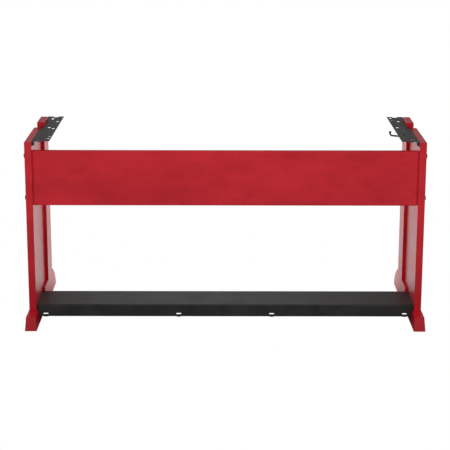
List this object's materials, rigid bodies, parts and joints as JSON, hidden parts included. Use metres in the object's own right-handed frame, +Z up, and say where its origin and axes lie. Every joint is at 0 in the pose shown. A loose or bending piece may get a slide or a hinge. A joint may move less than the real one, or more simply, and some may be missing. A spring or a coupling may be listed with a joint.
{
  "type": "digital piano stand",
  "caption": "Lacquered wooden floor stand with two side frames, a rear panel, a steel cross rail, slotted steel support brackets and a swivelling headphone hook.",
  "frame": {"origin": "on the floor, at the middle of the four glides' and feet's outline", "axes": "+X to the right seen from behind, +Y towards the player, +Z up"},
  "size_m": [1.275, 0.546, 0.617],
  "materials": {
    "red_lacquer": "satin-gloss red lacquer on board",
    "black_powder": "satin black powder coat",
    "black_wire": "black oxide wire",
    "dark_steel": "blackened steel",
    "zinc_steel": "zinc plated",
    "beech": "plain beech dowel",
    "glide_plastic": "black plastic glide",
    "black_vinyl": "soft vinyl cap"
  },
  "bodies": {
    "frame": {"rear_panel": "red_lacquer", "cross_rail": "black_powder", "support_bracket_right": "black_powder", "support_bracket_left": "black_powder", "side_board_right": "red_lacquer", "side_board_left": "red_lacquer", "front_post_right": "red_lacquer", "front_post_left": "red_lacquer", "foot_right": "red_lacquer", "foot_left": "red_lacquer", "floor_glides_right": "glide_plastic", "floor_glides_left": "glide_plastic", "foot_screws_right": "zinc_steel", "foot_screws_left": "zinc_steel", "post_dowels_right": "beech", "post_dowels_left": "beech", "panel_dowels_right": "beech", "panel_dowels_left": "beech", "panel_bolts_right": "dark_steel", "panel_bolts_left": "dark_steel", "barrel_nuts_right": "zinc_steel", "barrel_nuts_left": "zinc_steel", "rail_end_plate_right": "black_powder", "rail_end_plate_left": "black_powder", "rail_bolts_right": "dark_steel", "rail_bolts_left": "dark_steel", "rail_inserts_right": "zinc_steel", "rail_inserts_left": "zinc_steel", "bracket_bolts_right": "dark_steel", "bracket_bolts_left": "dark_steel", "bracket_inserts_right": "zinc_steel", "bracket_inserts_left": "zinc_steel"},
    "hook": {"headphone_hook": "black_wire", "hook_washer": "zinc_steel", "hook_screw": "zinc_steel", "hook_tip_cap": "black_vinyl"}
  },
  "joints": [
    {"name": "hook_swivel", "type": "hinge", "parent": "frame", "child": "hook", "pos_m": [0.579, -0.017, 0.602], "axis": [0, 0, 1], "range_deg": [-63, 117]}
  ]
}
